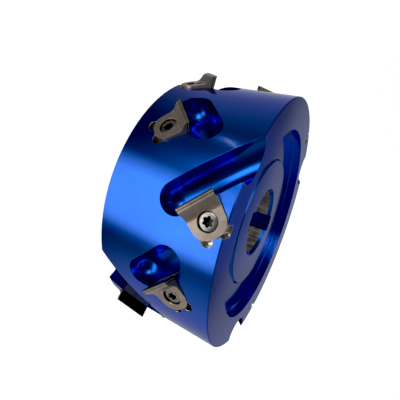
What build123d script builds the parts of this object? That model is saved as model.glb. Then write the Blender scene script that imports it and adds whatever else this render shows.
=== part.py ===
"""Pre-milling cutter: an anodised aluminium body that carries twelve screwed-on diamond inserts.

Millimetres. The axis of the bore is Z. The rear face lies on z = 0 and the recessed front face looks
along +Z. The two keyways lie on the X axis. Seen from the front the cutter turns clockwise.
"""
from build123d import *
from math import cos, degrees, radians, sin, tan
import os

os.makedirs("parts", exist_ok=True)

# Body
body_diameter = 115.5
body_width = 49.0
rim_chamfer = 0.3
recess_diameter = 88.8
recess_depth = 4.4
recess_corner = 0.3
boss_diameter = 61.2
boss_drop = 3.6

# Bore and keyways
bore_diameter = 30.0
front_lead_in = 1.5
rear_lead_in = 1.0
keyway_width = 8.0
keyway_reach = 19.0
keyways = 2

# Where the inserts sit: stations of each hand round the body, and the two rows of each hand
stations = 3
first_station = 2.5
rear_hand_offset = 60.0
inner_row_offset = 32.4
outer_row_inset = 6.2
inner_row_inset = 14.2
shear_angle = 45.5
edge_tilt = 4.6
side_tilt = 3.5
seat_rise = 0.65

# Insert
insert_half_width = 6.85
insert_waist = 6.2
insert_reach = 8.2
insert_tail = 5.6
insert_corner = 5.2
plate_thickness = 6.0
tooth_height = 2.9
land_length = 2.0
land_relief = 7.0
blend_radius = 2.9
blend_slope = 46.0
rake_angle = 18.4

# Brazed diamond tip
tip_thickness = 1.25
tip_height = 4.6
tip_overhang = 0.1

# Insert screw
screw_diameter = 5.0
head_diameter = 6.2
countersink_angle = 60.0
countersink_diameter = 7.1
insert_hole_diameter = 5.5
thread_engagement = 6.5

# Seats cut in the body
seat_clearance = 0.15
round_clearance = 0.05
relief_diameter = 4.4
relief_back = 5.0
relief_side = 3.3
tapped_depth = 7.5

# Chip gullets
gullet_width = 12.0
gullet_depth = 8.4
gullet_ahead = 12.4
gullet_half_length = 7.0
gullet_exit = 32.0

body_radius = body_diameter / 2
gullet_radius = gullet_width / 2

# How far the cutting shapes run past what they cut
beyond = 12.0


class Seat:
    """One insert seat: its plane has X towards the cutting edge and Z out along the screw."""

    def __init__(self, angle, inset, front):
        self.angle = angle
        self.front = front
        self.axial = 1 if front else -1
        self.height = body_width - inset if front else inset
        turn = radians(angle)
        self.radial = Vector(cos(turn), sin(turn), 0)
        self.tangent = Vector(-sin(turn), cos(turn), 0)
        self.axis = Vector(0, 0, self.axial)
        shear = radians(shear_angle)
        ahead = self.tangent * -cos(shear) - self.axis * sin(shear)
        along = self.tangent * -sin(shear) + self.axis * cos(shear)
        dip = radians(edge_tilt)
        self.ahead = ahead * cos(dip) + self.radial * sin(dip)
        lifted = self.radial * cos(dip) - ahead * sin(dip)
        lean = radians(side_tilt)
        self.normal = lifted * cos(lean) + along * sin(lean)
        self.centre = self.radial * (body_radius + seat_rise) + Vector(0, 0, self.height)

    def plane(self):
        """Plane on the flat of the insert, centred on its screw."""
        return Plane(origin=self.centre, x_dir=self.ahead, z_dir=self.normal)

    def surface_point(self, ahead, along):
        """Angle in degrees and height of a point laid off on the unrolled body surface."""
        shear = radians(shear_angle)
        around = -cos(shear) * ahead - sin(shear) * along
        climb = -sin(shear) * ahead + cos(shear) * along
        return self.angle + degrees(around / body_radius), self.height + self.axial * climb


def all_seats():
    """The twelve seats with the names of their rows."""
    rows = (
        ("front_outer", 0.0, outer_row_inset, True),
        ("front_inner", inner_row_offset, inner_row_inset, True),
        ("rear_outer", rear_hand_offset, outer_row_inset, False),
        ("rear_inner", rear_hand_offset + inner_row_offset, inner_row_inset, False),
    )
    seats = []
    for row, offset, inset, front in rows:
        for number in range(stations):
            angle = first_station + offset + number * 360 / stations
            seats.append((row, number + 1, Seat(angle, inset, front)))
    return seats


def half_width_at(x):
    """Half the width of the insert at a distance ahead of the screw."""
    return insert_waist + (insert_half_width - insert_waist) * x / insert_reach


def insert_outline(extra=0.0, front=insert_reach):
    """Plan of the insert, or of its pocket: widest at the cutting edge, with a rounded tail."""
    tail = -insert_tail - extra
    wide = half_width_at(front) + extra
    narrow = half_width_at(tail) + extra
    face = make_face(
        Polyline((front, wide), (tail, narrow), (tail, -narrow), (front, -wide), close=True)
    )
    return fillet(face.vertices().sort_by(Axis.X)[:2], insert_corner + extra)


def rake_shift(z):
    """How far the rake face lies behind the cutting edge at height z over the flat."""
    return (tooth_height - z) * tan(radians(rake_angle))


def tooth_profile():
    """Side view of the insert: plate, concave blend up to the crest, and the land behind the edge."""
    relief = radians(land_relief)
    crest_x = insert_reach - land_length * cos(relief)
    crest_z = tooth_height - land_length * sin(relief)
    foot_x = crest_x - crest_z / tan(radians(blend_slope))
    past_tail = -insert_tail - beyond
    face = make_face(
        Polyline(
            (past_tail, -plate_thickness),
            (insert_reach - rake_shift(-plate_thickness), -plate_thickness),
            (insert_reach, tooth_height),
            (crest_x, crest_z),
            (foot_x, 0),
            (past_tail, 0),
            close=True,
        )
    )
    foot = face.vertices().sort_by_distance((foot_x, 0))[0]
    return fillet(foot, blend_radius)


def tip_profile():
    """Side view of the diamond tip, leaning with the rake face."""
    low = tooth_height - tip_height
    foot_x = insert_reach - rake_shift(low)
    back_z = tooth_height - tip_thickness * tan(radians(land_relief))
    return make_face(
        Polyline(
            (foot_x, low),
            (insert_reach, tooth_height),
            (insert_reach - tip_thickness, back_z),
            (foot_x - tip_thickness, low),
            close=True,
        )
    )


def side_extrude(face):
    """Extrude a side view well past both sides of the insert."""
    return extrude(Plane.XZ * face, beyond, both=True)


def plan_extrude(face):
    """Extrude a plan from the underside of the plate to well past the tooth."""
    return extrude(Pos(0, 0, -plate_thickness) * face, plate_thickness + beyond)


def insert_blank():
    """Steel plate of the insert with its raised tooth, tip notch and countersunk screw hole."""
    blank = plan_extrude(insert_outline()) & side_extrude(tooth_profile())
    blank -= side_extrude(tip_profile())
    hole = Cylinder(insert_hole_diameter / 2, 2 * (plate_thickness + beyond))
    cone_depth = (countersink_diameter - insert_hole_diameter) / 2 / tan(radians(countersink_angle / 2))
    sink = Pos(0, 0, -cone_depth / 2) * Cone(insert_hole_diameter / 2, countersink_diameter / 2, cone_depth)
    mouth = Pos(0, 0, beyond / 2) * Cylinder(countersink_diameter / 2, beyond)
    return blank - hole - sink - mouth


def diamond_tip():
    """The brazed tip, a little wider on each side than the plate that carries it."""
    return plan_extrude(insert_outline(tip_overhang, insert_reach)) & side_extrude(tip_profile())


def insert_screw():
    """Countersunk screw, its head just under the flat of the insert."""
    half_cone = tan(radians(countersink_angle / 2))
    shank = screw_diameter / 2 - round_clearance
    top = (head_diameter - countersink_diameter) / 2 / half_cone + round_clearance
    cone_bottom = top - (head_diameter / 2 - shank) / half_cone
    tip = -plate_thickness - thread_engagement
    profile = Polyline(
        (0, top),
        (head_diameter / 2, top),
        (shank, cone_bottom),
        (shank, tip),
        (0, tip),
        close=True,
    )
    return revolve(Plane.XZ * make_face(profile), Axis.Z)


def seat_cut():
    """Pocket of one insert: flat floor, side and tail walls, corner reliefs and the tapped hole."""
    pocket = plan_extrude(insert_outline(seat_clearance, gullet_ahead))
    relief = plan_extrude(Circle(relief_diameter / 2))
    for side in (-1, 1):
        pocket += Pos(-relief_back, side * relief_side, 0) * relief
    tapped = Pos(0, 0, -plate_thickness - tapped_depth / 2) * Cylinder(screw_diameter / 2, tapped_depth)
    return pocket + tapped


def ball_tool(place):
    """The round-nosed cutter standing at one end of its path."""
    half = make_face(
        Polyline((0, 0), (gullet_radius, 0), (gullet_radius, beyond), (0, beyond), close=True)
    )
    nose = make_face(
        [
            Line((0, -gullet_radius), (0, 0)),
            Line((0, 0), (gullet_radius, 0)),
            CenterArc((0, 0), gullet_radius, 0, -90),
        ]
    )
    return place * revolve(Plane.XZ * (half + nose), Axis.Z)


def gullet_cut(seat, start, finish):
    """Chip gullet milled ahead of the rake face, from start to finish along the cutting edge."""
    middle = (start + finish) / 2
    angle, height = seat.surface_point(gullet_ahead, middle)
    turn = radians(angle)
    radial = Vector(cos(turn), sin(turn), 0)
    tangent = Vector(-sin(turn), cos(turn), 0)
    shear = radians(shear_angle)
    along = tangent * -sin(shear) + seat.axis * cos(shear)
    across = radial.cross(along)
    ball_height = body_radius - gullet_depth + gullet_radius
    ball_centre = radial * ball_height + Vector(0, 0, height)
    bend = ball_height / sin(shear) ** 2
    pivot = Axis(ball_centre - radial * bend, across)
    stretch = (finish - start) * bend / (bend + body_radius - ball_height)
    spread = degrees(stretch / bend)
    profile = Circle(gullet_radius) + Pos(0, beyond / 2) * Rectangle(gullet_width, beyond)
    face = Plane(origin=ball_centre, x_dir=across, z_dir=along) * profile
    cut = revolve(face.rotate(pivot, -spread / 2), pivot, spread)
    tool = ball_tool(Plane(origin=ball_centre, x_dir=across, z_dir=radial).location)
    for end in (-spread / 2, spread / 2):
        cut += tool.rotate(pivot, end)
    return cut


def keyway_cut():
    """The keyways, the first on the X axis, right through the bore."""
    slot = Box(keyway_reach, keyway_width, body_width, align=(Align.MIN, Align.CENTER, Align.MIN))
    cut = slot
    for number in range(1, keyways):
        cut += Rot(0, 0, 360 / keyways * number) * slot
    return cut


def turned_body():
    """The plain turned body: rims, recess, raised boss, bore and lead-ins."""
    outer = body_radius
    recess = recess_diameter / 2
    floor = body_width - recess_depth
    boss = body_width - boss_drop
    bore = bore_diameter / 2
    profile = Polyline(
        (bore + rear_lead_in, 0),
        (outer - rim_chamfer, 0),
        (outer, rim_chamfer),
        (outer, body_width - rim_chamfer),
        (outer - rim_chamfer, body_width),
        (recess, body_width),
        (recess, floor + recess_corner),
        (recess - recess_corner, floor),
        (boss_diameter / 2, floor),
        (boss_diameter / 2 - (boss - floor), boss),
        (bore + front_lead_in, boss),
        (bore, boss - front_lead_in),
        (bore, rear_lead_in),
        close=True,
    )
    return revolve(Plane.XZ * make_face(profile), Axis.Z)


def cutter_body():
    """The body with its keyways, gullets and insert seats."""
    body = turned_body() - keyway_cut()
    pocket = seat_cut()
    for row, number, seat in all_seats():
        outer_row = row.endswith("outer")
        finish = gullet_exit if outer_row else gullet_half_length
        body -= gullet_cut(seat, -gullet_half_length, finish)
        body -= seat.plane().location * pocket
    return body


def main():
    """Write one STEP file for each node."""
    export_step(cutter_body(), "parts/cutter_body.step")
    blank = insert_blank()
    tip = diamond_tip()
    screw = insert_screw()
    screws = []
    for row, number, seat in all_seats():
        place = seat.plane().location
        export_step(place * blank, f"parts/insert_{row}_{number}.step")
        export_step(place * tip, f"parts/diamond_tip_{row}_{number}.step")
        screws.append(place * screw)
    export_step(Compound(children=screws), "parts/insert_screws.step")


main()
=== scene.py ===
"""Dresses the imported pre-milling cutter: finishes, six-lobe screws, plain studio and camera.

Metres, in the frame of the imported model: the bore's axis is Z and the rear face lies on z = 0.
"""
import logging
from collections.abc import Sequence
from dataclasses import dataclass, field
from enum import Enum
from math import cos, pi, radians, sin

import bmesh
import bpy
from mathutils import Matrix, Vector


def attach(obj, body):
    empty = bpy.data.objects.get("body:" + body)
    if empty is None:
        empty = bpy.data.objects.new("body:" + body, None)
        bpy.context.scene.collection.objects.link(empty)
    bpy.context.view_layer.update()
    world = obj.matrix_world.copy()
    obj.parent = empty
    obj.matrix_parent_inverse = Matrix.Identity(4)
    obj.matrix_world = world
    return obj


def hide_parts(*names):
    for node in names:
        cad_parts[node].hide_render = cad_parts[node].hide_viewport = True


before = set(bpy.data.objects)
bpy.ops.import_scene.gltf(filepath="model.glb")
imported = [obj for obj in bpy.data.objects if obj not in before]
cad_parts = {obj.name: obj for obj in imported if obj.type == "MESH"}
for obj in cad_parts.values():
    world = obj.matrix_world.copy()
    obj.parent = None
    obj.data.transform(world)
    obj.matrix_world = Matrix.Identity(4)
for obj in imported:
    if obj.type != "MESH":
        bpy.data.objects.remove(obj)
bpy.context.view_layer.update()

log = logging.getLogger("cutter")
MM = 0.001
FULL_TURN = 360
STATIONS = 3
BEVEL_SAMPLES = 4
MIX_COLOURS = (6, 7)
MIX_RESULT = 2
Colour = tuple[float, float, float]
Pair = tuple[float, float]
Socket = bpy.types.NodeSocket
Number = Socket | float
Triple = Socket | Sequence[float]
Shape = bmesh.types.BMesh
Outline = list[bmesh.types.BMVert]
WHITE: Colour = (1.0, 1.0, 1.0)
BLACK: Colour = (0.0, 0.0, 0.0)


class Row(Enum):
    """The four rows of inserts: node name, angle of its first insert, height over the rear face, hand."""

    FRONT_OUTER = ("front_outer", 2.5, 42.8, 1)
    FRONT_INNER = ("front_inner", 34.9, 34.8, 1)
    REAR_OUTER = ("rear_outer", 62.5, 6.2, -1)
    REAR_INNER = ("rear_inner", 94.9, 14.2, -1)

    @property
    def label(self) -> str:
        """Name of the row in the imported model."""
        return self.value[0]

    @property
    def angle(self) -> float:
        """Angle of the first seat of the row, in degrees."""
        return self.value[1]

    @property
    def height(self) -> float:
        """Height of the row's screws over the rear face, in metres."""
        return self.value[2] * MM

    @property
    def hand(self) -> int:
        """1 for the seats that shear towards the front face, -1 for the others."""
        return self.value[3]


@dataclass(frozen=True)
class Seat:
    """One insert seat: X points at the cutting edge and Z out along the screw."""

    row: Row
    number: int
    body_radius: float = 57.75 * MM
    rise: float = 0.65 * MM
    shear: float = radians(45.5)
    edge_tilt: float = radians(4.6)
    side_tilt: float = radians(3.5)

    @property
    def label(self) -> str:
        """Row and number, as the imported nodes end."""
        return f"{self.row.label}_{self.number}"

    def matrix(self) -> Matrix:
        """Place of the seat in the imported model.

        Returns:
            The matrix that turns seat coordinates into the model's.
        """
        turn = radians(self.row.angle + (self.number - 1) * FULL_TURN / STATIONS)
        radial = Vector((cos(turn), sin(turn), 0))
        tangent = Vector((-sin(turn), cos(turn), 0))
        axis = Vector((0, 0, self.row.hand))
        level = -tangent * cos(self.shear) - axis * sin(self.shear)
        along = -tangent * sin(self.shear) + axis * cos(self.shear)
        ahead = level * cos(self.edge_tilt) + radial * sin(self.edge_tilt)
        lifted = radial * cos(self.edge_tilt) - level * sin(self.edge_tilt)
        out = lifted * cos(self.side_tilt) + along * sin(self.side_tilt)
        side = out.cross(ahead)
        centre = radial * (self.body_radius + self.rise) + Vector((0, 0, self.row.height))
        turned = Matrix((ahead, side, out)).transposed().to_4x4()
        return Matrix.Translation(centre) @ turned


def all_seats() -> list[Seat]:
    """The twelve seats, row by row."""
    return [Seat(row, number) for row in Row for number in range(1, STATIONS + 1)]


@dataclass(frozen=True)
class Pattern:
    """Noise in a surface: features in a metre, fineness, and the part of its range that counts."""

    scale: float
    detail: float = 3.0
    low: float = 0.3
    high: float = 0.7


class Wiring:
    """Adds shader nodes to one tree and links them."""

    def __init__(self, tree: bpy.types.NodeTree) -> None:
        """Start on the emptied node tree of a material or of the world."""
        self.tree = tree
        tree.nodes.clear()

    def node(self, kind: str, **settings: object) -> bpy.types.Node:
        """Add one node.

        Args:
            kind: Blender's type name of the node.
            **settings: Properties of the node to set.

        Returns:
            The new node.
        """
        made = self.tree.nodes.new(kind)
        for name, value in settings.items():
            setattr(made, name, value)
        return made

    def put(self, target: Socket, value: Number | Triple) -> None:
        """Link a socket to another, or set its own value.

        Args:
            target: The input to fill.
            value: A socket to link from, or a plain value.
        """
        if isinstance(value, Socket):
            self.tree.links.new(value, target)
        else:
            target.default_value = value

    def place(self) -> Socket:
        """Position in the model, in metres."""
        return self.node("ShaderNodeTexCoord").outputs["Object"]

    def parts(self, whole: Socket) -> tuple[Socket, ...]:
        """X, Y and Z of a vector.

        Args:
            whole: The vector.

        Returns:
            Its three parts.
        """
        made = self.node("ShaderNodeSeparateXYZ")
        self.put(made.inputs[0], whole)
        return tuple(made.outputs)

    def math(self, operation: str, first: Number, second: Number = 0.0, third: Number = 0.0) -> Socket:
        """One sum on numbers.

        Args:
            operation: Name of the sum.
            first: First number or socket.
            second: Second number or socket.
            third: Third number or socket, for the sums that take one.

        Returns:
            The result.
        """
        made = self.node("ShaderNodeMath", operation=operation)
        for place, value in enumerate((first, second, third)):
            self.put(made.inputs[place], value)
        return made.outputs[0]

    def squares(self, first: Socket, second: Socket) -> Socket:
        """The squares of two numbers, added up."""
        return self.math("ADD", self.math("MULTIPLY", first, first), self.math("MULTIPLY", second, second))

    def vector(self, operation: str, first: Triple, second: Triple = (0.0, 0.0, 0.0)) -> bpy.types.Node:
        """One sum on vectors.

        Args:
            operation: Name of the sum.
            first: First vector or socket.
            second: Second vector or socket.

        Returns:
            The node, whose outputs are Vector and Value.
        """
        made = self.node("ShaderNodeVectorMath", operation=operation)
        self.put(made.inputs[0], first)
        self.put(made.inputs[1], second)
        return made

    def along(self, first: Triple, second: Triple) -> Socket:
        """How far one vector reaches along another, times the other's length."""
        return self.vector("DOT_PRODUCT", first, second).outputs["Value"]

    def blend(self, share: Number, first: Triple, second: Triple) -> Socket:
        """Mix of two colours.

        Args:
            share: How much of the second colour shows.
            first: Colour where share is 0.
            second: Colour where share is 1.

        Returns:
            The mixed colour.
        """
        made = self.node("ShaderNodeMix", data_type="RGBA")
        self.put(made.inputs["Factor"], share)
        for place, value in zip(MIX_COLOURS, (first, second)):
            self.put(made.inputs[place], value if isinstance(value, Socket) else (*value, 1.0))
        return made.outputs[MIX_RESULT]

    def spread(self, value: Number, low: float, high: float, to_low: Number, to_high: Number) -> Socket:
        """Carry a number from one range to another, held to its ends.

        Args:
            value: The number or socket.
            low: Start of the range it has.
            high: End of the range it has.
            to_low: Start of the range it gets.
            to_high: End of the range it gets.

        Returns:
            The number in its new range.
        """
        made = self.node("ShaderNodeMapRange")
        names = ("Value", "From Min", "From Max", "To Min", "To Max")
        for name, given in zip(names, (value, low, high, to_low, to_high)):
            self.put(made.inputs[name], given)
        return made.outputs["Result"]

    def noise(self, where: Socket, pattern: Pattern, line: bool = False) -> Socket:
        """Even noise from 0 to 1.

        Args:
            where: Position, or for a line the number along it.
            pattern: The noise that is wanted.
            line: True for noise along one number only.

        Returns:
            The noise.
        """
        made = self.node("ShaderNodeTexNoise", noise_dimensions="1D" if line else "3D")
        self.put(made.inputs["W" if line else "Vector"], where)
        made.inputs["Scale"].default_value = pattern.scale
        made.inputs["Detail"].default_value = pattern.detail
        return made.outputs["Fac"]

    def within(self, noise: Socket, pattern: Pattern, to_low: float, to_high: float) -> Socket:
        """Carry the part of a noise that counts to another range, held to its ends."""
        return self.spread(noise, pattern.low, pattern.high, to_low, to_high)

    def broken_edges(self, radius: Number) -> Socket:
        """Normal of the surface with its sharp edges broken.

        Args:
            radius: Radius of the edges, in metres.

        Returns:
            The new normal.
        """
        made = self.node("ShaderNodeBevel", samples=BEVEL_SAMPLES)
        self.put(made.inputs["Radius"], radius)
        return made.outputs[0]

    def bump(self, height: Socket, depth: float, normal: Socket) -> Socket:
        """Relief in the surface.

        Args:
            height: Height from 0 to 1.
            depth: What a height of 1 stands for, in metres.
            normal: Normal to start from.

        Returns:
            The new normal.
        """
        made = self.node("ShaderNodeBump")
        made.inputs["Strength"].default_value = 1.0
        made.inputs["Distance"].default_value = depth
        self.put(made.inputs["Height"], height)
        self.put(made.inputs["Normal"], normal)
        return made.outputs["Normal"]


class Finish:
    """A finish that makes a material of its own name."""

    name: str = "finish"

    def material(self) -> bpy.types.Material:
        """The material of this finish, made when it is first asked for.

        Returns:
            The material.
        """
        made = bpy.data.materials.get(self.name)
        if made is None:
            made = bpy.data.materials.new(self.name)
            made.use_nodes = True
            wiring = Wiring(made.node_tree)
            shader = wiring.node("ShaderNodeBsdfPrincipled")
            output = wiring.node("ShaderNodeOutputMaterial")
            wiring.put(output.inputs["Surface"], shader.outputs["BSDF"])
            self.paint(wiring, shader)
        return made

    def paint(self, wiring: Wiring, shader: bpy.types.Node) -> None:
        """Set up the surface shader in the material's tree."""
        raise NotImplementedError


@dataclass(frozen=True)
class AnodisedAluminium(Finish):
    """Blue anodised body: turned on the faces and the side, milled in the gullets, bare in bored holes."""

    name: str = "blue_anodised_aluminium"
    dye: Colour = (0.003, 0.17, 0.84)
    deep_dye: Colour = (0.002, 0.13, 0.74)
    # Darker dye of the milled surfaces: partly the milled finish, partly painted shade in the gullets and
    # pockets.
    milled_dye_and_shade: Colour = (0.002, 0.12, 0.6)
    grazing_dye: Colour = (0.04, 0.3, 0.74)
    bare: Colour = (0.92, 0.88, 0.83)
    worn: Colour = (0.45, 0.4, 0.345)
    milled_roughness: float = 0.21
    turned_roughness: float = 0.23
    bored_roughness: float = 0.3
    drilled_roughness: float = 0.15
    grain_roughness: Pair = (-0.02, 0.03)
    bored_dullness: float = 0.45
    turned_spread: float = 0.5
    turned_direction: float = 0.25
    oxide_index: float = 1.45
    oxide_roughness: float = 0.11
    milled_coat: float = 0.4
    level_face: float = 0.995
    side_radius: float = 57.6 * MM
    turned_walls: tuple[float, ...] = (44.4 * MM, 30.6 * MM)
    wall_allowance: float = 0.3 * MM
    outer_edges: Pair = (50 * MM, 51 * MM)
    edge_radii: Pair = (0.08 * MM, 0.35 * MM)
    bore_radius: float = 15.03 * MM
    relief_radius: float = 2.24 * MM
    relief_back: float = 5.0 * MM
    relief_side: float = 3.3 * MM
    seat_depth: float = 6.1 * MM
    cloud: Pattern = Pattern(60)
    grain: Pattern = Pattern(2600)
    fine_marks: Pattern = Pattern(5200)
    broad_marks: Pattern = Pattern(900, 2.0, 0.35, 0.75)
    streaks: Pattern = Pattern(7, 3.0, 0.2, 0.34)
    streak_ends: Pattern = Pattern(260, 2.0)
    mark_tint: float = 0.25
    fine_share: float = 0.25
    mark_depth: float = 0.0016 * MM
    grain_depth: float = 0.00004 * MM

    def bare_holes(self, wiring: Wiring, where: Socket, angle: Socket) -> Socket:
        """Find the bored relief holes of all seats, one row at a time.

        Args:
            wiring: The tree of the material.
            where: Position in the model.
            angle: Angle round the bore, in radians.

        Returns:
            1 on the wall of a relief hole, else 0.
        """
        found: Number = 0.0
        third = 2 * pi / STATIONS
        for row in Row:
            place = Seat(row, 1).matrix()
            ahead, side, out = (tuple(place.col[axis].xyz) for axis in range(3))
            past = wiring.math("SUBTRACT", angle, radians(row.angle))
            steps = wiring.math("ROUND", wiring.math("DIVIDE", past, third))
            turned = wiring.node("ShaderNodeVectorRotate", rotation_type="Z_AXIS")
            wiring.put(turned.inputs["Vector"], where)
            wiring.put(turned.inputs["Angle"], wiring.math("MULTIPLY", steps, -third))
            local = wiring.vector("SUBTRACT", turned.outputs[0], tuple(place.translation)).outputs[0]
            back = wiring.math("ADD", wiring.along(local, ahead), self.relief_back)
            aside = wiring.math("ABSOLUTE", wiring.along(local, side))
            apart = wiring.math("SUBTRACT", aside, self.relief_side)
            inside = wiring.math("LESS_THAN", wiring.squares(back, apart), self.relief_radius ** 2)
            above = wiring.math("GREATER_THAN", wiring.along(local, out), -self.seat_depth)
            found = wiring.math("MAXIMUM", found, wiring.math("MULTIPLY", inside, above))
        return found

    def turned_zone(self, wiring: Wiring, radius: Socket) -> Socket:
        """Find what was turned: the level faces, the side, and the walls of the recess and the boss.

        Args:
            wiring: The tree of the material.
            radius: Distance from the bore's axis.

        Returns:
            1 where the body was turned, else 0.
        """
        facing = wiring.parts(wiring.node("ShaderNodeNewGeometry").outputs["True Normal"])
        level = wiring.math("GREATER_THAN", wiring.math("ABSOLUTE", facing[2]), self.level_face)
        turned = wiring.math("MAXIMUM", level, wiring.math("GREATER_THAN", radius, self.side_radius))
        for wall in self.turned_walls:
            on_wall = wiring.math("COMPARE", radius, wall, self.wall_allowance)
            turned = wiring.math("MAXIMUM", turned, on_wall)
        return turned

    def paint(self, wiring: Wiring, shader: bpy.types.Node) -> None:
        """Dye, turning marks, milled floors in a darker dye that is partly painted shade, and bare bored
        walls.

        Args:
            wiring: The tree of the material.
            shader: Its surface shader.
        """
        where = wiring.place()
        across, deep, height = wiring.parts(where)
        radius = wiring.math("SQRT", wiring.squares(across, deep))
        angle = wiring.math("ARCTAN2", deep, across)
        turned = self.turned_zone(wiring, radius)
        bore = wiring.math("LESS_THAN", radius, self.bore_radius)
        holes = self.bare_holes(wiring, where, angle)
        bare = wiring.math("MAXIMUM", bore, holes)

        feed = wiring.math("ADD", radius, height)
        fine_marks = wiring.noise(feed, self.fine_marks, line=True)
        broad_marks = wiring.noise(feed, self.broad_marks, line=True)
        cloud = wiring.noise(where, self.cloud)
        grain = wiring.noise(where, self.grain)

        dyed = wiring.blend(wiring.within(cloud, self.cloud, 0.0, 1.0), self.dye, self.deep_dye)
        marked = wiring.within(broad_marks, self.broad_marks, 0.0, self.mark_tint)
        dyed = wiring.blend(wiring.math("MULTIPLY", marked, turned), dyed, self.deep_dye)
        # Surfaces that were not turned take the darker milled dye, which is partly painted shade in the
        # gullets, keyway and pockets.
        dyed = wiring.blend(turned, self.milled_dye_and_shade, dyed)
        streaks = wiring.math(
            "MULTIPLY", wiring.noise(angle, self.streaks, line=True), wiring.noise(where, self.streak_ends)
        )
        honed = wiring.blend(wiring.within(streaks, self.streaks, 0.0, 1.0), self.worn, self.bare)
        metal = wiring.blend(holes, honed, self.bare)
        wiring.put(shader.inputs["Base Color"], wiring.blend(bare, dyed, metal))
        dull = wiring.math("MULTIPLY", bore, self.bored_dullness)
        wiring.put(shader.inputs["Metallic"], wiring.math("SUBTRACT", 1.0, dull))

        rough = wiring.spread(turned, 0.0, 1.0, self.milled_roughness, self.turned_roughness)
        rough = wiring.spread(bore, 0.0, 1.0, rough, self.bored_roughness)
        rough = wiring.spread(holes, 0.0, 1.0, rough, self.drilled_roughness)
        uneven = wiring.within(grain, self.grain, *self.grain_roughness)
        wiring.put(shader.inputs["Roughness"], wiring.math("ADD", rough, uneven))
        wiring.put(shader.inputs["Specular Tint"], wiring.blend(bare, self.grazing_dye, WHITE))
        coat = wiring.spread(turned, 0.0, 1.0, self.milled_coat, 1.0)
        coated = wiring.math("MULTIPLY", coat, wiring.math("SUBTRACT", 1.0, bare))
        wiring.put(shader.inputs["Coat Weight"], coated)
        shader.inputs["Coat IOR"].default_value = self.oxide_index
        shader.inputs["Coat Roughness"].default_value = self.oxide_roughness
        shader.inputs["Anisotropic"].default_value = self.turned_spread
        shader.inputs["Anisotropic Rotation"].default_value = self.turned_direction
        around = wiring.node("ShaderNodeTangent", direction_type="RADIAL", axis="Z")
        wiring.put(shader.inputs["Tangent"], around.outputs[0])

        edges = wiring.broken_edges(wiring.spread(radius, *self.outer_edges, *self.edge_radii))
        lathe = wiring.math("ADD", wiring.math("MULTIPLY", fine_marks, self.fine_share), broad_marks)
        relief = wiring.bump(wiring.math("MULTIPLY", lathe, turned), self.mark_depth, edges)
        wiring.put(shader.inputs["Normal"], wiring.bump(grain, self.grain_depth, relief))
        wiring.put(shader.inputs["Coat Normal"], edges)


@dataclass(frozen=True)
class GroundSteel(Finish):
    """Ground steel of one insert, with the grinding lines along its edge."""

    seat: Seat
    pale: Colour = (0.55, 0.465, 0.395)
    brown: Colour = (0.26, 0.195, 0.145)
    metal: float = 0.84
    roughness: Pair = (0.23, 0.38)
    # Dark colour painted round the screw hole as the shade in the countersink.
    countersink_shade: Colour = (0.03, 0.025, 0.022)
    countersink_shade_edge: Pair = (3.37 * MM, 3.47 * MM)
    grinding_way: tuple[float, float, float] = (1.0, 0.06, 1.0)
    grinding: Pattern = Pattern(5200, 3.0, 0.25, 0.75)
    darker_lines: Pattern = Pattern(5200, 3.0, 0.4, 0.8)
    line_tint: float = 0.2
    tarnish: Pattern = Pattern(240, 4.0, 0.35, 0.75)
    tarnish_tint: float = 0.55
    line_depth: float = 0.0022 * MM
    edge_radius: float = 0.09 * MM

    @property
    def name(self) -> str:
        """Name of the material, one for each insert."""
        return f"ground_steel_{self.seat.label}"

    def local(self, wiring: Wiring) -> Socket:
        """Position in the seat's own directions.

        Args:
            wiring: The tree of the material.

        Returns:
            The position, X towards the cutting edge and Z out along the screw.
        """
        place = self.seat.matrix()
        made = wiring.node("ShaderNodeMapping", vector_type="TEXTURE")
        made.inputs["Location"].default_value = place.translation
        made.inputs["Rotation"].default_value = place.to_euler()
        wiring.put(made.inputs["Vector"], wiring.place())
        return made.outputs[0]

    def surface(self, wiring: Wiring, shader: bpy.types.Node, local: Socket) -> Socket:
        """Grinding lines, brown tarnish, softly broken edges and painted shade down in the countersink.

        Args:
            wiring: The tree of the material.
            shader: Its surface shader.
            local: Position in the seat's own directions.

        Returns:
            The colour of the steel.
        """
        stretched = wiring.vector("MULTIPLY", local, self.grinding_way).outputs[0]
        lines = wiring.noise(stretched, self.grinding)
        tarnish = wiring.noise(local, self.tarnish)
        shader.inputs["Metallic"].default_value = self.metal
        wiring.put(shader.inputs["Roughness"], wiring.within(lines, self.grinding, *self.roughness))
        edges = wiring.broken_edges(self.edge_radius)
        wiring.put(shader.inputs["Normal"], wiring.bump(lines, self.line_depth, edges))
        tarnished = wiring.within(tarnish, self.tarnish, 0.0, self.tarnish_tint)
        tint = wiring.blend(tarnished, self.pale, self.brown)
        lined = wiring.within(lines, self.darker_lines, 0.0, self.line_tint)
        tint = wiring.blend(lined, tint, self.brown)
        # Painted shade: inside the countersink's radius the colour goes dark, as the shade in the gap round
        # the screw head.
        level = wiring.vector("MULTIPLY", local, (1.0, 1.0, 0.0)).outputs[0]
        from_screw = wiring.vector("LENGTH", level).outputs["Value"]
        painted_shade = wiring.spread(from_screw, *self.countersink_shade_edge, 1.0, 0.0)
        return wiring.blend(painted_shade, tint, self.countersink_shade)

    def paint(self, wiring: Wiring, shader: bpy.types.Node) -> None:
        """The plain ground plate."""
        wiring.put(shader.inputs["Base Color"], self.surface(wiring, shader, self.local(wiring)))


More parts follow.
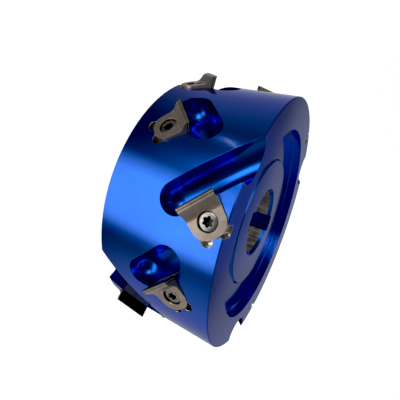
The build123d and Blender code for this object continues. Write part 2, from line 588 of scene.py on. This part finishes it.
@dataclass(frozen=True)
class DiamondOnCarbide(GroundSteel):
    """Tip of one insert: black diamond in front, carbide behind, and a dark brazed seam at its back."""

    diamond: Colour = (0.022, 0.021, 0.024)
    diamond_dullness: float = 0.45
    braze: Colour = (0.035, 0.028, 0.023)
    reach: float = 8.2 * MM
    tooth: float = 2.9 * MM
    rake: float = radians(18.4)
    layer: float = 0.4 * MM
    thickness: float = 1.25 * MM
    seam: float = 0.26 * MM

    @property
    def name(self) -> str:
        """Name of the material, one for each tip."""
        return f"diamond_on_carbide_{self.seat.label}"

    def paint(self, wiring: Wiring, shader: bpy.types.Node) -> None:
        """Layers counted back from the rake face.

        Args:
            wiring: The tree of the material.
            shader: Its surface shader.
        """
        local = self.local(wiring)
        steel = self.surface(wiring, shader, local)
        behind = wiring.vector("SUBTRACT", (self.reach, 0.0, self.tooth), local).outputs[0]
        depth = wiring.along(behind, (cos(self.rake), 0.0, -sin(self.rake)))
        layer = wiring.math("LESS_THAN", depth, self.layer)
        seam = wiring.math("GREATER_THAN", depth, self.thickness * cos(self.rake) - self.seam)
        colour = wiring.blend(layer, wiring.blend(seam, steel, self.braze), self.diamond)
        wiring.put(shader.inputs["Base Color"], colour)
        dull = wiring.math("MULTIPLY", layer, self.diamond_dullness)
        wiring.put(shader.inputs["Metallic"], wiring.math("SUBTRACT", self.metal, dull))


@dataclass(frozen=True)
class MachinedScrewSteel(Finish):
    """Bright machined screw steel, with painted shade down in the socket and the thread."""

    name: str = "machined_screw_steel"
    bright: Colour = (0.52, 0.49, 0.46)
    # Dark colour of the random oil stains, and also of the painted shade below the head.
    dark: Colour = (0.05, 0.045, 0.042)
    dark_heights: Pair = (-0.9 * MM, -1.25 * MM)
    roughness: Pair = (0.24, 0.38)
    rings: Pattern = Pattern(6500, 2.0)
    ring_depth: float = 0.0015 * MM
    oil: Pattern = Pattern(900, 3.0, 0.4, 0.8)
    oil_tint: float = 0.35
    edge_radius: float = 0.06 * MM

    def paint(self, wiring: Wiring, shader: bpy.types.Node) -> None:
        """Turned head with random oil stains, and painted shade down in the socket and the thread.

        Args:
            wiring: The tree of the material.
            shader: Its surface shader.
        """
        where = wiring.place()
        across, deep, height = wiring.parts(where)
        radius = wiring.math("SQRT", wiring.squares(across, deep))
        rings = wiring.noise(wiring.math("ADD", radius, height), self.rings, line=True)
        oily = wiring.within(wiring.noise(where, self.oil), self.oil, 0.0, self.oil_tint)
        # Painted shade: below these heights the screw is painted dark, down in the socket and under the
        # head.
        painted_shade = wiring.spread(height, *self.dark_heights, 0.0, 1.0)
        colour = wiring.blend(oily, self.bright, self.dark)
        wiring.put(shader.inputs["Base Color"], wiring.blend(painted_shade, colour, self.dark))
        shader.inputs["Metallic"].default_value = 1.0
        wiring.put(shader.inputs["Roughness"], wiring.within(rings, self.rings, *self.roughness))
        edges = wiring.broken_edges(self.edge_radius)
        wiring.put(shader.inputs["Normal"], wiring.bump(rings, self.ring_depth, edges))


@dataclass(frozen=True)
class StudioPaper(Finish):
    """Plain pale paper of the floor."""

    name: str = "studio_paper"
    white: Colour = (0.86, 0.86, 0.86)
    shaded: Colour = (0.8, 0.8, 0.8)
    fibre: Pattern = Pattern(400)
    fibre_tint: float = 0.05
    roughness: float = 0.9
    glow: float = 0.97

    def paint(self, wiring: Wiring, shader: bpy.types.Node) -> None:
        """Matt paper with a faint fibre.

        Args:
            wiring: The tree of the material.
            shader: Its surface shader.
        """
        fibre = wiring.noise(wiring.place(), self.fibre)
        share = wiring.within(fibre, self.fibre, 0.0, self.fibre_tint)
        wiring.put(shader.inputs["Base Color"], wiring.blend(share, self.white, self.shaded))
        shader.inputs["Roughness"].default_value = self.roughness
        shader.inputs["Emission Color"].default_value = (*WHITE, 1.0)
        shader.inputs["Emission Strength"].default_value = self.glow


def glowing(name: str) -> tuple[bpy.types.Material, Wiring, bpy.types.Node]:
    """Make a material that only glows.

    Args:
        name: Name of the material.

    Returns:
        The material, its wiring and its glow.
    """
    made = bpy.data.materials.new(name)
    made.use_nodes = True
    wiring = Wiring(made.node_tree)
    glow = wiring.node("ShaderNodeEmission")
    wiring.put(wiring.node("ShaderNodeOutputMaterial").inputs["Surface"], glow.outputs[0])
    return made, wiring, glow


def give_finish(node: str, finish: Finish) -> None:
    """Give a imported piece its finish.

    Args:
        node: Name of the piece.
        finish: The finish it gets.
    """
    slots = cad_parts[node].data.materials
    slots.clear()
    slots.append(finish.material())
    log.info("%s: %s", node, finish.name)


@dataclass
class CutterBody:
    """The turned and milled body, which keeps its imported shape."""

    node: str = "cutter_body"
    finish: AnodisedAluminium = field(default_factory=AnodisedAluminium)

    def dress(self) -> None:
        """Give the body its finish."""
        give_finish(self.node, self.finish)


@dataclass
class TippedInserts:
    """The twelve ground inserts and their brazed tips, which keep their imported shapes."""

    seats: list[Seat] = field(default_factory=all_seats)

    def dress(self) -> None:
        """Give each insert and each tip the finish of its own seat."""
        for seat in self.seats:
            give_finish(f"insert_{seat.label}", GroundSteel(seat))
            give_finish(f"diamond_tip_{seat.label}", DiamondOnCarbide(seat))


@dataclass
class SixLobeScrews:
    """The insert screws, with the six-lobe socket, the broken head edge and the thread."""

    node: str = "insert_screws"
    seats: list[Seat] = field(default_factory=all_seats)
    finish: MachinedScrewSteel = field(default_factory=MachinedScrewSteel)
    points: int = 96
    face_radius: float = 2.36 * MM
    face_height: float = -0.52 * MM
    rim_radius: float = 3.07 * MM
    rim_height: float = -0.73 * MM
    rim_depth: float = 0.08 * MM
    shank_radius: float = 2.45 * MM
    shank_top: float = -1.9 * MM
    tip_height: float = -12.45 * MM
    pitch: float = 0.8 * MM
    thread_depth: float = 0.4 * MM
    rows_in_pitch: int = 4
    run_out_rows: int = 4
    lobes: int = 6
    lobe_radius: float = 1.93 * MM
    core_radius: float = 1.38 * MM
    socket_depth: float = 2.0 * MM
    socket_lead: float = 0.1 * MM
    socket_flare: float = 0.06 * MM
    socket_draft: float = 0.05 * MM
    socket_point: float = 0.35 * MM
    first_turn: float = 17
    next_turn: float = 23
    crease: float = 32

    @property
    def turns(self) -> list[float]:
        """Angle of each point of an outline, in radians."""
        return [2 * pi * step / self.points for step in range(self.points)]

    def outline(self, built: Shape, radii: Sequence[float], height: float) -> Outline:
        """A level outline.

        Args:
            built: The shape to add it to.
            radii: Distance of each point from the screw's axis.
            height: Height of the outline.

        Returns:
            Its points in order.
        """
        return [
            built.verts.new((radius * cos(turn), radius * sin(turn), height))
            for turn, radius in zip(self.turns, radii)
        ]

    def ring(self, built: Shape, radius: float, height: float) -> Outline:
        """A level circle of points."""
        return self.outline(built, [radius] * self.points, height)

    def star(self, built: Shape, wider: float, height: float) -> Outline:
        """A level outline of the six-lobe socket.

        Args:
            built: The shape to add it to.
            wider: How far the outline is moved outward.
            height: Height of the outline.

        Returns:
            Its points in order.
        """
        middle = (self.lobe_radius + self.core_radius) / 2
        swing = (self.lobe_radius - self.core_radius) / 2
        radii = [middle + wider + swing * cos(self.lobes * turn) for turn in self.turns]
        return self.outline(built, radii, height)

    def thread(self, built: Shape, above: Outline) -> Outline:
        """The helical thread down the shank.

        Args:
            built: The shape to add it to.
            above: The ring that it starts from.

        Returns:
            The last ring.
        """
        rows = round((self.shank_top - self.tip_height) / self.pitch * self.rows_in_pitch)
        for row in range(1, rows):
            height = self.shank_top + (self.tip_height - self.shank_top) * row / rows
            fade = min(1.0, row / self.run_out_rows)
            radii = []
            for step in range(self.points):
                phase = (height / self.pitch + step / self.points) % 1.0
                radii.append(self.shank_radius - self.thread_depth * fade * (1 - abs(2 * phase - 1)))
            below = self.outline(built, radii, height)
            self.bridge(built, above, below)
            above = below
        return above

    def bridge(self, built: Shape, first: Outline, second: Outline) -> None:
        """Faces between two outlines.

        Args:
            built: The shape to add them to.
            first: One outline.
            second: The other outline.
        """
        for step in range(self.points):
            after = (step + 1) % self.points
            built.faces.new((first[step], first[after], second[after], second[step]))

    def close(self, built: Shape, edge: Outline, height: float) -> None:
        """Close an outline to a point on the screw's axis.

        Args:
            built: The shape to add the faces to.
            edge: The outline.
            height: Height of the point.
        """
        centre = built.verts.new((0, 0, height))
        for step in range(self.points):
            built.faces.new((edge[step], edge[(step + 1) % self.points], centre))

    def mesh(self) -> bpy.types.Mesh:
        """The shape of one screw, in the directions of its seat.

        Returns:
            The mesh, which all the screws share.
        """
        built = bmesh.new()
        floor_height = self.face_height - self.socket_depth
        outlines = [
            self.star(built, -self.socket_draft, floor_height),
            self.star(built, 0.0, self.face_height - self.socket_lead),
            self.star(built, self.socket_flare, self.face_height),
            self.ring(built, self.face_radius, self.face_height),
            self.ring(built, self.rim_radius, self.rim_height),
            self.ring(built, self.rim_radius, self.rim_height - self.rim_depth),
            self.ring(built, self.shank_radius, self.shank_top),
        ]
        for first, second in zip(outlines, outlines[1:]):
            self.bridge(built, first, second)
        last = self.thread(built, outlines[-1])
        end = self.ring(built, self.shank_radius - self.thread_depth, self.tip_height)
        self.bridge(built, last, end)
        self.close(built, outlines[0], floor_height - self.socket_point)
        self.close(built, end, self.tip_height)

        made = bpy.data.meshes.new("six_lobe_screw")
        bmesh.ops.recalc_face_normals(built, faces=built.faces)
        built.to_mesh(made)
        built.free()
        for face in made.polygons:
            face.use_smooth = True
        made.set_sharp_from_angle(angle=radians(self.crease))
        made.materials.append(self.finish.material())
        return made

    def build(self) -> None:
        """Put a screw in each seat, each turned a little differently."""
        shape = self.mesh()
        for place, seat in enumerate(self.seats):
            screw = bpy.data.objects.new(f"six_lobe_screw_{seat.label}", shape)
            turn = radians(self.first_turn + self.next_turn * place)
            screw.matrix_world = seat.matrix() @ Matrix.Rotation(turn, 4, "Z")
            bpy.context.scene.collection.objects.link(screw)
            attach(screw, "root")
            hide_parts(self.node)
            log.info("%s: %d faces", screw.name, len(shape.polygons))


@dataclass(frozen=True)
class SoftPanel:
    """A light panel that the object mirrors: an even core, and a rim that fades to nothing.

    Corners are azimuths and elevations seen from the object, in degrees. A brightness of 1 is white
    paper, core is the core's share of the size, and lift is how much each degree upward adds.
    """

    name: str
    corners: tuple[Pair, ...]
    brightness: float
    core: float
    lift: float = 0.0
    distance: float = 0.7
    middle_height: float = 25 * MM

    def shape(self) -> Shape:
        """The panel, with its glow written to its points.

        Returns:
            The shape.
        """
        built = bmesh.new()
        glow = built.verts.layers.float.new("glow")
        middle = Vector((0, 0, self.middle_height))
        centre = Vector([sum(axis) / len(self.corners) for axis in zip(*self.corners)])
        rings = []
        for share in (1.0, self.core):
            ring = []
            for corner in self.corners:
                azimuth, elevation = centre + (Vector(corner) - centre) * share
                turn, climb = radians(azimuth), radians(elevation)
                toward = Vector((cos(turn) * cos(climb), sin(turn) * cos(climb), sin(climb)))
                vert = built.verts.new(middle + toward * self.distance)
                vert[glow] = 0.0 if share == 1.0 else 1.0 + self.lift * (elevation - centre.y)
                ring.append(vert)
            rings.append(ring)
        outer, inner = rings
        for step in range(len(self.corners)):
            after = (step + 1) % len(self.corners)
            built.faces.new((outer[step], outer[after], inner[after], inner[step]))
        built.faces.new(inner)
        bmesh.ops.triangulate(built, faces=built.faces[:])
        return built

    def material(self) -> bpy.types.Material:
        """The panel's light.

        Returns:
            The material.
        """
        made, wiring, light = glowing(self.name)
        fading = wiring.node("ShaderNodeAttribute", attribute_name="glow").outputs["Fac"]
        wiring.put(light.inputs["Strength"], wiring.math("MULTIPLY", fading, self.brightness))
        return made


@dataclass
class Studio:
    """Plain floor and backdrop, soft light and the camera of the photograph."""

    reach: float = 3.0
    floor_share: float = 0.97
    floor_height: float = -0.02 * MM
    floor_sides: int = 96
    backdrop_sides: tuple[int, int] = (48, 24)
    camera_place: tuple[float, float, float] = (146.79 * MM, -6.974 * MM, 77.46 * MM)
    camera_turn: tuple[tuple[float, float, float], ...] = (
        (-0.46383, 0.11689, 0.87818),
        (-0.30992, -0.95003, -0.03724),
        (0.82995, -0.28944, 0.47688),
    )
    sensor: float = 36.0
    lens: float = 27.6
    shift: Pair = (0.0567, -0.0206)
    nearest: float = 0.01
    farthest: float = 7.5
    black_point: float = 0.011
    panels: tuple[SoftPanel, ...] = (
        SoftPanel(
            "front_panel", ((-31, -60), (26, -62), (42, -46), (51, -22), (51, -5), (18, -3), (-23, -7)),
            brightness=1.7, core=0.6, lift=0.012,
        ),
        SoftPanel(
            "side_panel", ((-52, -8), (-30, -25), (-3, -17), (-2, -2), (-14, 15), (-28, 20), (-52, 8)),
            brightness=2.6, core=0.45,
        ),
        SoftPanel(
            "high_panel", ((-108, 52), (-70, 60), (-10, 64), (-10, 76), (-70, 74), (-108, 66)),
            brightness=1.7, core=0.7,
        ),
        SoftPanel(
            "lamp_panel", ((-60.5, -20.2), (-58.5, -21), (-52.5, -17.2), (-53.5, -16.4)),
            brightness=5.0, core=0.6,
        ),
        SoftPanel(
            "back_panel", ((160, 21), (203, 21), (206, 48), (157, 48)),
            brightness=0.55, core=0.85,
        ),
    )
    tilt: tuple[float, float, float] = (0.195, -0.07, 1.0)
    horizon: float = 0.055
    horizon_blur: float = 0.012
    near_heights: Pair = (-0.68, -0.48)
    near_level: float = 0.1
    low_levels: tuple[Pair, ...] = (
        (-180, 0.37), (-160, 0.3), (-150, 0.5), (-130, 0.4), (-110, 0.29), (-90, 0.21), (-70, 0.1),
        (-40, 0.04), (45, 0.04), (60, 0.17), (75, 0.33), (90, 0.4), (110, 0.42), (135, 0.42),
        (160, 0.3), (180, 0.37),
    )
    high_levels: tuple[Pair, ...] = (
        (-180, 0.05), (-150, 0.09), (-100, 0.13), (-60, 0.1), (0, 0.07),
        (60, 0.12), (100, 0.26), (130, 0.28), (160, 0.08), (180, 0.05),
    )

    def stage_mesh(self, name: str, built: Shape, mirrored: bool) -> bpy.types.Object:
        """Link a piece of the stage.

        Args:
            name: Name of the piece.
            built: Its shape.
            mirrored: True if the object mirrors it and the camera doesn't see it, False the other way round.

        Returns:
            The linked object.
        """
        mesh = bpy.data.meshes.new(name)
        built.to_mesh(mesh)
        built.free()
        piece = bpy.data.objects.new(name, mesh)
        bpy.context.scene.collection.objects.link(piece)
        piece.visible_camera = not mirrored
        piece.visible_glossy = mirrored
        piece.visible_shadow = False
        piece.visible_transmission = False
        return piece

    def floor(self) -> None:
        """The floor that the rear face rests on."""
        built = bmesh.new()
        radius = self.reach * self.floor_share
        bmesh.ops.create_circle(built, cap_ends=True, segments=self.floor_sides, radius=radius)
        piece = self.stage_mesh("pale_floor", built, mirrored=False)
        piece.location.z = self.floor_height
        paper = StudioPaper().material()
        paper.cycles.emission_sampling = "NONE"
        piece.data.materials.append(paper)
        log.info("pale_floor: %.2f m across", 2 * radius)

    def backdrop(self) -> None:
        """The plain white surround behind the object."""
        built = bmesh.new()
        round_it, up = self.backdrop_sides
        bmesh.ops.create_uvsphere(built, u_segments=round_it, v_segments=up, radius=self.reach)
        piece = self.stage_mesh("white_backdrop", built, mirrored=False)
        piece.visible_diffuse = False
        made, _, _ = glowing("white_backdrop")
        made.cycles.emission_sampling = "NONE"
        piece.data.materials.append(made)
        log.info("white_backdrop: %.2f m across", 2 * self.reach)

    def levels_round(self, wiring: Wiring, share: Socket, levels: tuple[Pair, ...]) -> Socket:
        """Brightness of the surround by azimuth.

        Args:
            wiring: The tree of the world.
            share: Azimuth from 0 to 1.
            levels: Azimuth in degrees and brightness of each stop, in order.

        Returns:
            The brightness.
        """
        ramp = wiring.node("ShaderNodeValToRGB")
        wiring.put(ramp.inputs[0], share)
        stops = ramp.color_ramp.elements
        stops.remove(stops[1])
        stops[0].position = 0.0
        start = levels[0][0]
        for angle, level in levels:
            stop = stops[0] if angle == start else stops.new((angle - start) / FULL_TURN)
            stop.color = (level, level, level, 1.0)
        return ramp.outputs[0]

    def world(self) -> None:
        """The surround that the object mirrors: a pale table below a tilted horizon, a dim room above."""
        world = bpy.data.worlds.new("studio")
        world.use_nodes = True
        wiring = Wiring(world.node_tree)
        toward = wiring.node("ShaderNodeTexCoord").outputs["Generated"]
        across, deep, height = wiring.parts(toward)
        share = wiring.spread(wiring.math("ARCTAN2", deep, across), -pi, pi, 0.0, 1.0)
        rise = wiring.along(toward, self.tilt)
        below, over = self.horizon - self.horizon_blur, self.horizon + self.horizon_blur
        above = wiring.spread(rise, below, over, 0.0, 1.0)
        near = wiring.spread(height, *self.near_heights, self.near_level, 1.0)
        low = wiring.blend(near, BLACK, self.levels_round(wiring, share, self.low_levels))
        high = self.levels_round(wiring, share, self.high_levels)
        background = wiring.node("ShaderNodeBackground")
        wiring.put(background.inputs["Color"], wiring.blend(above, low, high))
        wiring.put(wiring.node("ShaderNodeOutputWorld").inputs["Surface"], background.outputs[0])
        bpy.context.scene.world = world
        log.info("surround: %d levels round the object", len(self.low_levels) + len(self.high_levels))

    def soft_light(self) -> None:
        """Hang the soft panels round the object."""
        for panel in self.panels:
            piece = self.stage_mesh(panel.name, panel.shape(), mirrored=True)
            piece.data.materials.append(panel.material())
            log.info("%s: brightness %.1f", panel.name, panel.brightness)

    def camera(self) -> None:
        """The camera at the photograph's viewing angle."""
        data = bpy.data.cameras.new("camera")
        data.sensor_width = self.sensor
        data.lens = self.lens
        data.shift_x, data.shift_y = self.shift
        data.clip_start = self.nearest
        data.clip_end = self.farthest
        eye = bpy.data.objects.new("camera", data)
        eye.matrix_world = Matrix.Translation(self.camera_place) @ Matrix(self.camera_turn).to_4x4()
        bpy.context.scene.collection.objects.link(eye)
        bpy.context.scene.camera = eye
        view = bpy.context.scene.view_settings
        view.view_transform = "Standard"
        view.use_curve_mapping = True
        view.curve_mapping.black_level = (self.black_point,) * 3
        view.curve_mapping.update()
        log.info("camera: %.1f mm lens", self.lens)

    def build(self) -> None:
        """Set the whole studio up."""
        self.floor()
        self.backdrop()
        self.world()
        self.soft_light()
        self.camera()


def main() -> None:
    """Dress the cutter, add its screws and set up the studio."""
    logging.basicConfig(level=logging.INFO, format="%(message)s")
    CutterBody().dress()
    TippedInserts().dress()
    SixLobeScrews().build()
    Studio().build()


if __name__ == "__main__":
    main()
